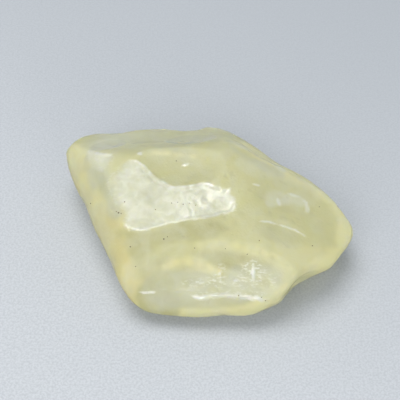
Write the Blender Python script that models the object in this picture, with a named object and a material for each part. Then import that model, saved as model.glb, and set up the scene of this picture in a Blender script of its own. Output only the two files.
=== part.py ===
"""A nugget of Libyan desert glass, worn smooth by wind-blown sand.

The nugget is one solid. It is a rough block of flat worn faces whose edges the wind has rounded,
into which shallow shell-shaped dishes are scooped where flakes once broke away. Two flake scars on
top are a little deeper than the skin around them. The underside is cut flat, and the nugget rests
on it.

The shape is a distance function: negative inside the glass, positive outside. A box of quads is
wrapped round the nugget, and each of its corners slides along a straight line until it meets the
glass, so the mesh is closed and even.

Frame: metres, +Z up, origin under the middle of the nugget on the surface it rests on, X along its
length. The tables below are in pattern millimetres, which LENGTH scales to metres.
"""

import math
from typing import NamedTuple

import bmesh
import bpy
import numpy as np

# Driving dimension: the nugget's length along X, in metres. All else follows it.
LENGTH = 0.0342
# The same length in the pattern's millimetres, and so the metres in one pattern millimetre.
PATTERN_LENGTH = 34.2
UNIT = LENGTH / PATTERN_LENGTH

NAME = "desert_glass"

# The point the worn faces are measured from, and how far the wind has rounded their edges.
HEART = (0.0, 0.0, 4.6)
EDGE_WEAR = 0.4
# How softly the flat underside runs into the faces above it.
BASE_WEAR = 1.2

# Quads along each side of the box that is wrapped round the nugget.
QUADS = (39, 30, 18)
# The wrapping box's half sizes, and the flat plate inside the glass that the quads shrink towards.
WRAP_HALF = (21.0, 16.0, 9.0)
PLATE_SHARE = 0.5
SLIDE_HALVINGS = 30

# Colour and finish of the glass.
GLASS_COLOUR = (0.60, 0.58, 0.33, 1.0)
GLASS_ROUGHNESS = 0.42


class Face(NamedTuple):
    """A flat worn face: which way it looks, and how far it is from the heart."""

    name: str
    bearing: float
    tilt: float
    reach: float


class Dish(NamedTuple):
    """A shallow scoop: the middle of its mouth, half its length and width, its depth, which way
    the mouth looks, the plan heading of its long axis, and how worn its rim is."""

    name: str
    mouth: tuple
    half: tuple
    depth: float
    bearing: float
    tilt: float
    heading: float
    rim_wear: float


class Scar(NamedTuple):
    """A flake scar on top: its outline seen from above, its depth, and the width of its step."""

    name: str
    depth: float
    step: float
    outline: tuple


class Wave(NamedTuple):
    """One long low swell of the surface: the way it runs, its length, height and start."""

    along: tuple
    length: float
    height: float
    phase: float


FACES = (
    Face("crown", 268, 79, 4.75),
    Face("crown_right", 340, 72, 5.6),
    Face("far_slope", 94, 60, 7.7),
    Face("far_right_slope", 50, 44, 8.8),
    Face("front_slope", 266, 42, 8.1),
    Face("left_slope", 205, 34, 11.3),
    Face("near_right_slope", 318, 56, 10.0),
    Face("corner", 135, 22, 18.0),
    Face("far_side", 96, 6, 13.55),
    Face("far_right_side", 45, -4, 12.1),
    Face("tip_far_side", 26, -4, 14.1),
    Face("tip", 337, -6, 16.6),
    Face("tip_near_side", 320, -16, 15.1),
    Face("near_right_side", 302, -20, 13.3),
    Face("front_side", 270, -20, 12.7),
    Face("front_left_side", 232, -18, 14.5),
    Face("left_side", 203, -10, 12.8),
    Face("left_tip", 178, -6, 17.8),
    Face("under_left", 205, -50, 10.0),
    Face("under_front", 270, -54, 9.9),
    Face("under_right", 330, -55, 9.8),
    Face("under_far", 55, -50, 9.4),
    Face("under_far_left", 110, -50, 11.0),
)

DISHES = (
    Dish("bowl", (-3.1, 3.4, 9.8), (4.5, 3.1), 0.5, 268, 84, 0, 0.2),
    Dish("front_dish", (1.4, -8.8, 6.75), (8.0, 3.4), 0.5, 268, 50, 0, 0.3),
    Dish("small_front_dish", (-2.4, -9.5, 5.6), (4.3, 1.9), 0.42, 266, 52, 0, 0.2),
    Dish("nail_dish", (8.7, -0.8, 7.76), (3.4, 1.2), 0.3, 345, 74, 352, 0.08),
    Dish("ledge_dish", (7.9, -5.1, 7.5), (3.4, 1.3), 0.3, 5, 74, 350, 0.08),
    Dish("tip_dish", (13.2, -1.6, 6.3), (2.1, 2.5), 0.25, 330, 79, 70, 0.4),
    Dish("far_left_dent", (-11.3, 7.8, 8.6), (2.6, 2.0), 0.25, 100, 62, 10, 0.5),
    Dish("far_dent", (-1.5, 8.4, 8.6), (3.4, 1.7), 0.25, 94, 60, 0, 0.5),
    Dish("far_right_dent", (6.2, 6.4, 8.05), (2.6, 1.6), 0.3, 50, 48, 325, 0.4),
    Dish("edge_dent", (10.2, 5.0, 6.5), (2.4, 1.0), 0.25, 48, 45, 320, 0.3),
    Dish("notch", (10.5, -9.9, 3.2), (3.1, 3.8), 1.35, 312, -10, 42, 1.1),
    Dish("far_side_dish", (-4.0, 13.0, 4.2), (4.4, 1.8), 0.4, 96, 4, 0, 0.4),
    Dish("base_dish", (3.0, 2.0, 0.0), (4.2, 3.0), 0.5, 0, -90, 20, 0.3),
)

SCARS = (
    Scar(
        "bright_scar",
        0.22,
        0.4,
        (
            (-10.3, 3.7), (-9.1, 3.9), (-7.9, 3.4), (-6.8, 2.4), (-5.6, 1.2), (-4.4, 0.3), (-2.4, 0.5),
            (-0.6, 0.9), (0.9, 0.2), (2.2, -0.2), (2.8, -1.6), (1.7, -3.0), (-0.7, -3.6), (-3.4, -4.1),
            (-5.8, -4.9), (-8.3, -5.3), (-9.8, -4.3), (-9.3, -3.3), (-10.5, -1.6), (-11.6, 0.2), (-11.1, 1.6),
        ),
    ),
    Scar(
        "corner_scar",
        0.2,
        0.4,
        ((-14.9, 6.4), (-13.2, 5.4), (-11.2, 5.0), (-11.6, 3.6), (-12.4, 1.8), (-13.6, 3.8)),
    ),
)
# Scars lie on the top, above this height.
SCAR_FLOOR = 4.6
# Points of the smooth outline between two given ones.
OUTLINE_STEPS = 4

WAVES = (
    Wave((0.9, 0.3, 0.2), 9.5, 0.07, 0.4),
    Wave((-0.3, 0.9, 0.3), 7.4, 0.06, 2.1),
    Wave((0.5, -0.6, 0.6), 6.1, 0.05, 4.0),
    Wave((0.7, 0.7, -0.4), 4.3, 0.03, 1.2),
)

# The share of a scoop's own depth that lies above its mouth, which sets how steep its rim is.
SCOOP_SHARE = 0.6


def towards(bearing, tilt):
    """The unit vector at a plan bearing from +X and a tilt above the horizon, both in degrees."""
    turn, rise = math.radians(bearing), math.radians(tilt)
    return np.array((math.cos(turn) * math.cos(rise), math.sin(turn) * math.cos(rise), math.sin(rise)))


def soft_max(first, second, wear):
    """The larger of two distances, with the edge between them rounded over the wear."""
    share = np.clip(0.5 + 0.5 * (first - second) / wear, 0.0, 1.0)
    return first * share + second * (1.0 - share) + wear * share * (1.0 - share)


def smooth_step(value, low, high):
    """0 below low, 1 above high, and a smooth rise between them."""
    share = np.clip((value - low) / (high - low), 0.0, 1.0)
    return share * share * (3.0 - 2.0 * share)


def block_distance(points):
    """The distance to the block of worn faces, with all its edges rounded."""
    looks = np.array([towards(face.bearing, face.tilt) for face in FACES])
    reaches = np.array([face.reach for face in FACES])
    beyond = (points - np.array(HEART)) @ looks.T - reaches
    furthest = beyond.max(axis=1)
    return furthest + EDGE_WEAR * np.log(np.exp((beyond - furthest[:, None]) / EDGE_WEAR).sum(axis=1))


def dish_distance(points, dish):
    """The distance to the egg-shaped body that scoops a dish."""
    out = towards(dish.bearing, dish.tilt)
    along = towards(dish.heading, 0.0)
    along -= out * along.dot(out)
    along /= np.linalg.norm(along)
    across = np.cross(out, along)
    widening = 1.0 / math.sqrt(1.0 - SCOOP_SHARE**2)
    half_depth = dish.depth / (1.0 - SCOOP_SHARE)
    middle = np.array(dish.mouth) + out * half_depth * SCOOP_SHARE
    halves = np.array((dish.half[0] * widening, dish.half[1] * widening, half_depth))
    local = (points - middle) @ np.stack((along, across, out), axis=1)
    scaled = np.linalg.norm(local / halves, axis=1)
    gradient = np.linalg.norm(local / halves**2, axis=1)
    return scaled * (scaled - 1.0) / np.maximum(gradient, 1e-9)


def smooth_outline(corners):
    """A closed smooth curve through the corners, as many short straight runs."""
    corners = np.array(corners)
    before, after, beyond = (np.roll(corners, shift, axis=0) for shift in (1, -1, -2))
    runs = []
    for step in range(OUTLINE_STEPS):
        t = step / OUTLINE_STEPS
        runs.append(
            0.5
            * (
                2 * corners
                + (after - before) * t
                + (2 * before - 5 * corners + 4 * after - beyond) * t**2
                + (3 * corners - before - 3 * after + beyond) * t**3
            )
        )
    return np.stack(runs, axis=1).reshape(-1, 2)


def depth_inside(plan, outline):
    """How far plan points are inside a closed outline; negative outside it."""
    start = smooth_outline(outline)
    run = np.roll(start, -1, axis=0) - start
    offset = plan[:, None, :] - start[None, :, :]
    share = np.clip((offset * run).sum(axis=2) / (run * run).sum(axis=1), 0.0, 1.0)
    nearest = np.linalg.norm(offset - share[:, :, None] * run, axis=2).min(axis=1)
    end_y = start[:, 1] + run[:, 1]
    rising = (start[:, 1] <= plan[:, 1:2]) & (end_y > plan[:, 1:2])
    falling = (start[:, 1] > plan[:, 1:2]) & (end_y <= plan[:, 1:2])
    side = run[:, 0] * offset[:, :, 1] - run[:, 1] * offset[:, :, 0]
    turns = (rising & (side > 0)).sum(axis=1) - (falling & (side < 0)).sum(axis=1)
    return np.where(turns != 0, nearest, -nearest)


def scar_depth(points):
    """How deep the flake scars are at each point."""
    depth = np.zeros(len(points))
    on_top = points[:, 2] > SCAR_FLOOR
    for scar in SCARS:
        inside = depth_inside(points[on_top, :2], scar.outline)
        depth[on_top] += scar.depth * smooth_step(inside, 0.0, scar.step)
    return depth


def swell(points):
    """The long low waves of the whole skin."""
    height = np.zeros(len(points))
    for wave in WAVES:
        along = np.array(wave.along) / np.linalg.norm(wave.along)
        height += wave.height * np.sin(2.0 * math.pi * (points @ along) / wave.length + wave.phase)
    return height


def glass_distance(points):
    """The distance of points to the nugget's skin, in pattern millimetres: negative inside."""
    distance = block_distance(points) + swell(points)
    for dish in DISHES:
        if dish.name != "base_dish":
            distance = soft_max(distance, -dish_distance(points, dish), dish.rim_wear)
    distance += scar_depth(points)
    distance = soft_max(distance, -points[:, 2], BASE_WEAR)
    for dish in DISHES:
        if dish.name == "base_dish":
            distance = soft_max(distance, -dish_distance(points, dish), dish.rim_wear)
    return distance


def clear_scene():
    """Removes every object, so that the script can run again."""
    for found in list(bpy.data.objects):
        bpy.data.objects.remove(found, do_unlink=True)


def wrapping_box():
    """A cube from -1 to 1 as a BMesh, cut into quads along each axis."""
    box = bmesh.new()
    bmesh.ops.create_cube(box, size=2.0)
    for axis, quads in enumerate(QUADS):
        along = [
            edge
            for edge in box.edges
            if abs(edge.verts[0].co[axis] - edge.verts[1].co[axis]) > 1.0
        ]
        bmesh.ops.subdivide_edges(box, edges=along, cuts=quads - 1, use_grid_fill=True)
    return box


def rounded(corners):
    """Points of the cube's skin moved to the unit sphere, evenly."""
    square = corners**2
    first, second = np.roll(square, -1, axis=1), np.roll(square, -2, axis=1)
    return corners * np.sqrt(1.0 - first / 2.0 - second / 2.0 + first * second / 3.0)


def slide_to_skin(corners):
    """Slides each corner of the wrapping box along its line until it meets the glass."""
    outer = rounded(corners) * np.array(WRAP_HALF)
    inner = outer * np.array((PLATE_SHARE, PLATE_SHARE, 0.0))
    middle = np.array((0.0, 0.0, HEART[2]))
    near, far = np.zeros(len(outer)), np.ones(len(outer))
    for _ in range(SLIDE_HALVINGS):
        share = (near + far) / 2.0
        outside = glass_distance(inner + (outer - inner) * share[:, None] + middle) > 0.0
        far = np.where(outside, share, far)
        near = np.where(outside, near, share)
    return inner + (outer - inner) * ((near + far) / 2.0)[:, None] + middle


def glass_material():
    """Pale yellow glass with a frosted skin."""
    material = bpy.data.materials.new("frosted_yellow_glass")
    material.use_nodes = True
    shader = material.node_tree.nodes["Principled BSDF"]
    shader.inputs["Base Color"].default_value = GLASS_COLOUR
    shader.inputs["Roughness"].default_value = GLASS_ROUGHNESS
    shader.inputs["Metallic"].default_value = 0.0
    shader.inputs["IOR"].default_value = 1.46
    return material


def build_nugget(collection):
    """The nugget as one closed mesh object."""
    box = wrapping_box()
    corners = np.array([vertex.co for vertex in box.verts])
    skin = slide_to_skin(corners)
    low, high = skin.min(axis=0), skin.max(axis=0)
    centre = (low + high) / 2.0
    skin -= (centre[0], centre[1], low[2])
    for vertex, place in zip(box.verts, skin * UNIT):
        vertex.co = place
    bmesh.ops.triangulate(box, faces=box.faces)
    bmesh.ops.recalc_face_normals(box, faces=box.faces)
    mesh = bpy.data.meshes.new(NAME)
    box.to_mesh(mesh)
    box.free()
    mesh.shade_smooth()
    mesh.materials.append(glass_material())
    nugget = bpy.data.objects.new(NAME, mesh)
    collection.objects.link(nugget)
    return nugget


def main():
    """Builds the nugget in a collection of its own."""
    clear_scene()
    collection = bpy.data.collections.new("libyan_desert_glass")
    bpy.context.scene.collection.children.link(collection)
    build_nugget(collection)


main()
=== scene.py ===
"""The look of a nugget of Libyan desert glass: pale yellow, milky, and frosted by wind-blown sand.

The nugget is one fine closed mesh that stands for the solid desert_glass. It is the same block
of worn faces and main dishes, and adds what the sand and the breaks left on them: hammered floors in
the fresh scars, thin flakes and rills on the sides, low ribs in the dishes, thin crests, soft
hollows, blisters and pits. Small mineral grains sit in its skin as a second piece.

The tables give places and sizes in pattern millimetres, about real ones. The nugget is laid into
the box of its solid, which turns them into metres.
"""

import itertools
import logging
import math
from dataclasses import dataclass, field, fields
from enum import Enum
from typing import Callable, Union

import bmesh
import bpy
import numpy as np
from mathutils import Matrix, Vector


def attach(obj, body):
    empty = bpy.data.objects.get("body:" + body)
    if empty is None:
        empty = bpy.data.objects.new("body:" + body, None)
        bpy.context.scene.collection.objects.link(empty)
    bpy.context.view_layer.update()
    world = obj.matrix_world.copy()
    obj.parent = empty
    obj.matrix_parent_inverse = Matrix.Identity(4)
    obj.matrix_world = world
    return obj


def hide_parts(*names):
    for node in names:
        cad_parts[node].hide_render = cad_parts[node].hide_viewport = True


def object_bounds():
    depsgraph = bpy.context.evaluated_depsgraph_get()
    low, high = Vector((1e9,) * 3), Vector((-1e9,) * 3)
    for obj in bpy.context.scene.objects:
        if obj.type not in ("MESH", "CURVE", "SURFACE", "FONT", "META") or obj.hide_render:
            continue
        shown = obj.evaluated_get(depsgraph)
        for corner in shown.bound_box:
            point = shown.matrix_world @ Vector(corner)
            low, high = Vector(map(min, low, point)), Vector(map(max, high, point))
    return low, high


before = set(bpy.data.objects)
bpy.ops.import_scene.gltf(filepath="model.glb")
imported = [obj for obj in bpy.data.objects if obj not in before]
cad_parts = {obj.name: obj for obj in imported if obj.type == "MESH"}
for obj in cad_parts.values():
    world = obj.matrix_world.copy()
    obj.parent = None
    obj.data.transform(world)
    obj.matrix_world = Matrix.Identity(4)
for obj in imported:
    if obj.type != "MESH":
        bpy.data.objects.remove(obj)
SOLID_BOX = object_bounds()

LOG = logging.getLogger("desert_glass")

NODE = "desert_glass"
BODY = "root"

Array = np.ndarray
Span = tuple[float, float]
Spot = tuple[float, float]
Outline = tuple[Spot, ...]
Place = tuple[float, float, float]
Colour = tuple[float, float, float]
Socket = bpy.types.NodeSocket
# What a socket can be fed with: another socket, a number, or the parts of a vector or colour.
Feed = Union[Socket, float, tuple[float, ...]]

# The point the worn faces are measured from, and how far the wind has rounded their edges.
HEART = (0.0, 0.0, 4.6)
EDGE_WEAR = 0.4
# How softly the flat underside runs into the faces above it.
BASE_WEAR = 1.2
# The share of a scoop's own depth that lies above its mouth, which sets how steep its rim is.
SCOOP_SHARE = 0.6
# Scars lie on the top, above this height.
SCAR_FLOOR = 4.6
# Points of a smooth outline between two given ones.
OUTLINE_STEPS = 4
# How far below and above the heart a plan point is dropped, and how often that span is halved.
DROP_SPAN = (2.5, 8.0)
DROP_HALVINGS = 24


class Skin(Enum):
    """How the floor of a dish or the crown of a mark is finished: its share of polish."""

    FROSTED = 0.0
    SATIN = 0.45
    GLOSSY = 0.8
    FRESH = 1.0


class Tone(Enum):
    """What the glass under a part of the skin looks like, or the light painted on it."""

    # Painted light: the brighter yellow of rims as if lit through the thin glass, also on rims in shade.
    GLOW = "glow"
    WARM = "warm"
    DEEP = "deep"
    # Partly the glass's own cloudy haze, partly painted sheen: the grey room reflected at grazing angles.
    HAZE = "haze"
    # Partly milky clouds in the glass, partly painted sheen and painted highlight.
    MILK = "milk"
    # Painted glints: fine bright flecks of light.
    HACKLE = "hackle"


@dataclass(frozen=True)
class Face:
    """A flat worn face: which way it looks, and how far it is from the heart."""

    name: str
    bearing: float
    tilt: float
    reach: float


@dataclass(frozen=True)
class Dish:
    """A shallow scoop: the middle of its mouth, half its length and width, its depth, which way
    the mouth looks, the plan heading of its long axis, how worn its rim is, and its finish."""

    name: str
    mouth: Place
    half: Spot
    depth: float
    bearing: float
    tilt: float
    heading: float
    rim_wear: float
    skin: Skin = Skin.FROSTED


@dataclass(frozen=True)
class Scar:
    """A flake scar on top: how strongly its floor is hammered, its depth, the places along the way
    to its deep edge where it starts to deepen and is deepest, and its outline."""

    name: str
    share: float
    depth: float
    deepens: Span
    outline: Outline
    step: float = 0.5
    deep_way: Spot = (0.45, 0.89)
    least: float = 0.2

    def strength(self, plan: Array) -> Array:
        """The share of its depth that the scar has at plan points."""
        return self.least + (1.0 - self.least) * smooth_step(plan @ np.array(self.deep_way), *self.deepens)


@dataclass(frozen=True)
class Wave:
    """One long low swell of the surface: the way it runs, its length, height and start."""

    along: Place
    length: float
    height: float
    phase: float

    def at(self, points: Array) -> Array:
        """Its height at some points, one row each."""
        along = np.array(self.along) / np.linalg.norm(self.along)
        return self.height * np.sin(2.0 * math.pi * (points @ along) / self.length + self.phase)


@dataclass(frozen=True)
class Mark:
    """A soft bump, or a hollow if its height is below zero, on the top of the nugget."""

    name: str
    place: Spot
    half: Spot
    heading: float
    height: float
    skin: Skin = Skin.FROSTED


@dataclass(frozen=True)
class Crest:
    """A thin raised line over the top, or a groove if its height is below zero. Its glow is painted
    light: how much brighter yellow the line is painted, as if light shone through the thin rim."""

    name: str
    line: Outline
    width: float
    height: float
    skin: Skin = Skin.FROSTED
    glow: float = 0.0


@dataclass(frozen=True)
class Zone:
    """A part of the nugget with a tone of its own: how strong, how soft its edge, its outline."""

    name: str
    tone: Tone
    share: float
    soft: float
    outline: Outline


@dataclass(frozen=True)
class Ribs:
    """Low rings round the point where a flake was struck off, inside one dish."""

    dish: str
    centre: Place
    pitch: float
    height: float


@dataclass(frozen=True)
class Flake:
    """A thin flake broken off one of the worn faces: how far along and across that face its middle
    is, half its length and width, how far it is turned, its depth, and its finish."""

    face: str
    middle: Spot
    half: Spot
    turn: float
    depth: float
    skin: Skin = Skin.FROSTED


@dataclass(frozen=True)
class Pits:
    """A scatter of round pits: how many, their radii and depth, the seed of the scatter, and whether
    only the far sides have them."""

    count: int
    radii: Span
    depth: float
    seed: int
    far: bool = False


@dataclass(frozen=True)
class Noise:
    """Smooth noise over the skin: the width of its swells, its strength, which noise it is, and how
    much it is stretched along each axis."""

    cell: float
    strength: float
    seed: int
    stretch: Place = (1.0, 1.0, 1.0)

    def at(self, points: Array) -> Array:
        """Its value at some points, one row each."""
        return self.strength * swirl(points * np.array(self.stretch), self.cell, self.seed)


FACES = (
    Face("crown", 268, 79, 4.75),
    Face("crown_right", 340, 72, 5.6),
    Face("far_slope", 94, 60, 7.7),
    Face("far_right_slope", 50, 44, 8.8),
    Face("front_slope", 266, 42, 8.1),
    Face("left_slope", 205, 34, 11.3),
    Face("near_right_slope", 318, 56, 10.0),
    Face("corner", 135, 22, 18.0),
    Face("far_side", 96, 6, 13.55),
    Face("far_right_side", 45, -4, 12.1),
    Face("tip_far_side", 26, -4, 14.1),
    Face("tip", 337, -6, 16.6),
    Face("tip_near_side", 320, -16, 15.1),
    Face("near_right_side", 302, -20, 13.3),
    Face("front_side", 270, -20, 12.7),
    Face("front_left_side", 232, -18, 14.5),
    Face("left_side", 203, -10, 12.8),
    Face("left_tip", 178, -6, 17.8),
    Face("under_left", 205, -50, 10.0),
    Face("under_front", 270, -54, 9.9),
    Face("under_right", 330, -55, 9.8),
    Face("under_far", 55, -50, 9.4),
    Face("under_far_left", 110, -50, 11.0),
)

DISHES = (
    Dish("bowl", (-3.1, 3.4, 9.8), (4.5, 3.1), 0.5, 268, 84, 0, 0.2),
    Dish("front_dish", (1.4, -8.8, 6.75), (8.0, 3.4), 0.5, 268, 50, 0, 0.3, Skin.SATIN),
    Dish("small_front_dish", (-2.4, -9.5, 5.6), (4.3, 1.9), 0.42, 266, 52, 0, 0.2, Skin.SATIN),
    Dish("nail_dish", (8.7, -0.8, 7.76), (3.4, 1.2), 0.26, 345, 74, 352, 0.2, Skin.SATIN),
    Dish("ledge_dish", (7.9, -5.1, 7.5), (3.4, 1.3), 0.22, 5, 74, 350, 0.3),
    Dish("notch", (10.5, -9.9, 3.2), (3.1, 3.8), 1.35, 312, -10, 42, 1.1),
    Dish("far_side_dish", (-4.0, 13.0, 4.2), (4.4, 1.8), 0.4, 96, 4, 0, 0.4),
)
BASE_DISH = Dish("base_dish", (3.0, 2.0, 0.0), (4.2, 3.0), 0.5, 0, -90, 20, 0.3)

BRIGHT_SCAR = Scar(
    "bright_scar",
    1.0,
    0.15,
    (-5.5, -1.5),
    (
        (-9.4, 3.75), (-8.4, 3.6), (-7.5, 3.1), (-6.3, 1.7), (-5.1, 0.85), (-4.3, 0.2), (-2.5, 0.35),
        (-0.8, 0.85), (0.4, 0.35), (1.1, 0.3), (1.5, -0.15), (2.3, -0.1), (2.2, -0.8), (2.8, -1.4),
        (2.85, -2.3), (2.2, -2.85), (1.2, -3.05), (0.2, -3.5), (-3.5, -4.1),
        (-5.4, -4.6), (-7.6, -5.1), (-9.1, -4.7), (-9.7, -3.9), (-9.5, -3.0), (-10.3, -2.3), (-11.1, -0.7),
        (-11.8, 0.8), (-11.0, 2.2),
    ),
)
CORNER_SCAR = Scar(
    "corner_scar",
    0.8,
    0.14,
    (-2.5, -0.5),
    ((-14.5, 6.6), (-13.4, 5.4), (-12.4, 4.9), (-11.2, 4.9), (-11.4, 3.7), (-12.3, 2.9), (-13.6, 4.0)),
)
SCARS = (BRIGHT_SCAR, CORNER_SCAR)

WAVES = (
    Wave((0.9, 0.3, 0.2), 9.5, 0.07, 0.4),
    Wave((-0.3, 0.9, 0.3), 7.4, 0.06, 2.1),
    Wave((0.5, -0.6, 0.6), 6.1, 0.05, 4.0),
    Wave((0.7, 0.7, -0.4), 4.3, 0.03, 1.2),
)

MARKS = (
    Mark("far_blister", (-8.1, 4.7), (0.30, 0.25), 0, 0.07, Skin.FRESH),
    Mark("bowl_blister", (-2.8, 3.7), (0.45, 0.22), 20, 0.08, Skin.FRESH),
    Mark("bowl_fleck", (-3.9, 4.1), (0.15, 0.12), 0, 0.04, Skin.GLOSSY),
    Mark("right_bump", (8.3, -3.0), (0.55, 0.35), 345, 0.10, Skin.GLOSSY),
    Mark("nail_fleck", (7.9, -0.6), (0.22, 0.5), 10, 0.08, Skin.FRESH),
    Mark("nail_end", (11.2, -0.9), (0.25, 0.5), 0, 0.07, Skin.FRESH),
    Mark("small_fleck", (5.3, 0.9), (0.45, 0.15), 0, 0.05, Skin.FRESH),
    Mark("left_streak", (1.2, -9.6), (0.16, 0.7), 0, 0.045, Skin.GLOSSY),
    Mark("right_streak", (4.8, -9.3), (0.2, 0.8), 0, 0.05, Skin.FRESH),
    Mark("left_glint", (-2.1, -9.9), (0.25, 0.11), 0, 0.035, Skin.GLOSSY),
    Mark("middle_glint", (-0.9, -9.9), (0.32, 0.11), 5, 0.035, Skin.FRESH),
    Mark("long_glint", (0.0, -9.75), (0.4, 0.10), 355, 0.035, Skin.GLOSSY),
    Mark("streak_foot", (2.9, -9.9), (0.35, 0.12), 10, 0.04, Skin.FRESH),
    Mark("right_glint", (3.8, -9.6), (0.22, 0.15), 40, 0.04, Skin.GLOSSY),
    Mark("far_glint", (5.9, -9.7), (0.3, 0.2), 330, 0.03, Skin.GLOSSY),
    Mark("last_glint", (7.0, -10.0), (0.4, 0.18), 340, 0.03, Skin.GLOSSY),
    Mark("far_left_swell", (-9.0, 10.6), (8.0, 1.9), 6, 0.50),
    Mark("far_hollow", (-1.5, 8.4), (2.9, 1.3), 0, -0.08),
    Mark("tip_hollow", (13.2, -1.6), (1.9, 2.2), 20, -0.20),
    Mark("far_right_hollow", (6.4, 6.2), (2.3, 1.2), 328, -0.10),
    Mark("edge_hollow", (10.4, 4.4), (2.0, 0.8), 330, -0.14),
    Mark("rim_swell", (8.2, 4.7), (0.8, 0.45), 325, 0.06, Skin.SATIN),
    Mark("far_rim_swell", (3.7, 7.2), (0.6, 0.4), 325, 0.05, Skin.SATIN),
    Mark("left_column", (-6.8, -8.6), (0.25, 0.9), 0, 0.04, Skin.SATIN),
)

CRESTS = (
    Crest("front_lip", (
        (-2.4, -11.05), (-1.1, -11.35), (0.2, -11.15), (2.0, -11.15), (3.8, -11.4), (6.2, -11.8),
    ), 0.19, 0.10, Skin.FRESH),
    Crest("left_lip", ((-8.3, -10.6), (-7.2, -10.72), (-5.7, -10.68)), 0.08, 0.035, Skin.FRESH),
    Crest("ledge_line", (
        (5.2, -3.8), (6.7, -3.6), (8.2, -3.8), (9.6, -4.1), (10.5, -4.55), (11.1, -5.0),
    ), 0.10, 0.06, Skin.FRESH),
    Crest("nail_line", (
        (8.6, 0.7), (9.3, 0.75), (10.4, 0.6), (11.1, 0.1), (11.4, -1.0),
    ), 0.17, 0.06, Skin.FRESH),
    Crest("tip_line", ((14.4, -0.5), (14.8, -1.3), (14.8, -2.4), (14.3, -3.1)), 0.25, -0.12),
    Crest("scar_edge", (*BRIGHT_SCAR.outline[:8], (0.8, 0.15)), 0.13, 0.015, Skin.FRESH),
    Crest("scar_lip", (
        (-9.7, -4.0), (-9.1, -4.7), (-7.6, -5.1), (-5.4, -4.6), (-3.5, -4.1), (0.2, -3.5), (2.2, -2.9),
    ), 0.13, 0.006, Skin.GLOSSY),
    Crest("scar_groove", ((-8.9, -4.3), (-7.4, -4.2), (-5.6, -4.0)), 0.3, -0.12),
    Crest("corner_edge", (
        (-14.4, 6.5), (-13.4, 5.4), (-12.4, 4.9), (-11.3, 4.85),
    ), 0.19, 0.06, Skin.FRESH),
    # Painted light only: a brighter yellow band along the far-right rim, with no relief.
    Crest("far_right_edge", (
        (2.2, 7.9), (5.2, 6.2), (8.0, 4.3), (11.0, 3.2), (13.9, 1.9), (15.4, -0.7),
    ), 0.9, 0.0, Skin.FROSTED, 1.0),
    Crest("front_tick", ((2.4, -12.0), (2.4, -12.6)), 0.08, -0.06),
    # The glow on these dish rims is painted light: thin edges painted brighter yellow.
    Crest("far_dish_rim", (
        (-2.0, -6.85), (0.2, -6.75), (2.9, -7.0), (5.7, -7.6), (9.1, -8.65),
    ), 0.5, 0.0, Skin.FROSTED, 0.6),
    Crest("near_dish_rim", (
        (-5.6, -8.9), (-5.0, -8.6), (-3.9, -8.2), (-2.4, -8.1), (-0.8, -8.4), (1.1, -9.0), (1.8, -9.3),
    ), 0.38, 0.05, Skin.FROSTED, 1.0),
    Crest("bowl_rim", (
        (-8.3, 4.55), (-6.6, 5.1), (-4.6, 5.2), (-2.7, 5.0), (-1.1, 4.6),
    ), 0.3, 0.02, Skin.FROSTED, 0.8),
)

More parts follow.
